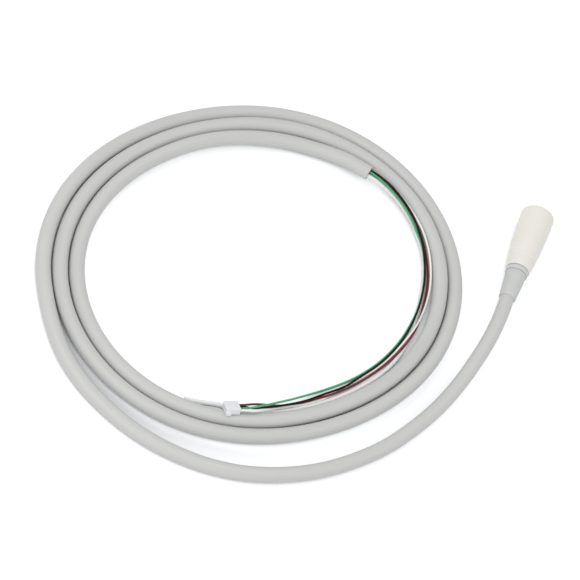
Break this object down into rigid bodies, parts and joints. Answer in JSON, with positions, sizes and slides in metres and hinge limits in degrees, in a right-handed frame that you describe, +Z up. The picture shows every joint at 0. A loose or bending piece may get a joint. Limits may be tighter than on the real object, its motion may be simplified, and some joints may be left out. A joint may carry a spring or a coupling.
{
  "type": "dental handpiece hose",
  "caption": "Coiled grey silicone dental handpiece hose with a cream quick-connect coupling, a screwed gland and bend relief, and a cut end with coloured leads, a water tube and a small plug.",
  "frame": {"origin": "on the floor under the middle of the coupling, measured over the coupling's own pieces without the cord", "axes": "+Y along the coupling towards its socket, +Z up from the floor that the hose lies on, +X to the right seen along +Y"},
  "size_m": [0.2355, 0.226, 0.0176],
  "materials": {
    "shell_plastic": "satin moulded, cream",
    "block_plastic": "moulded",
    "contact_brass": "gilt",
    "steel": "turned",
    "seal_rubber": "moulded",
    "sleeve_brass": "turned",
    "ferrule_aluminium": "crimped",
    "lead_core": "extruded",
    "tube_plastic": "extruded, translucent",
    "relief_rubber": "satin moulded, light grey",
    "nut_plastic": "moulded",
    "hose_silicone": "satin extruded, light grey",
    "lead_red": "extruded",
    "lead_black": "extruded",
    "lead_green": "extruded",
    "lead_white": "extruded",
    "plug_nylon": "moulded",
    "terminal_tin": "tinned"
  },
  "bodies": {
    "coupling": {"coupling_shell": "shell_plastic", "contact_block": "block_plastic", "contact_sleeves": "contact_brass", "water_port": "steel", "port_seal": "seal_rubber", "clamp_sleeve": "sleeve_brass", "crimp_ferrule": "ferrule_aluminium", "hose_stem": "steel", "core_leads": "lead_core", "core_tube": "tube_plastic", "hose_lead": "hose_silicone", "hose_coil": "hose_silicone", "wire_red": "lead_red", "wire_black": "lead_black", "wire_green": "lead_green", "wire_white": "lead_white", "water_tube": "tube_plastic", "plug_housing": "plug_nylon", "crimp_terminals": "terminal_tin"},
    "relief": {"bend_relief": "relief_rubber"},
    "nut": {"gland_nut": "nut_plastic"}
  },
  "joints": [
    {"name": "relief_slide", "type": "slide", "parent": "coupling", "child": "relief", "axis": [0, -1, 0], "range_m": [0, 0.0025]},
    {"name": "nut_turn", "type": "hinge", "parent": "relief", "child": "nut", "pos_m": [0, -0.011, 0.0088], "axis": [0, -1, 0], "range_deg": [0, 720]}
  ],
  "couplings": [
    {"joint": "nut_turn", "follows": "relief_slide", "rad_per_m": 5026.5}
  ]
}
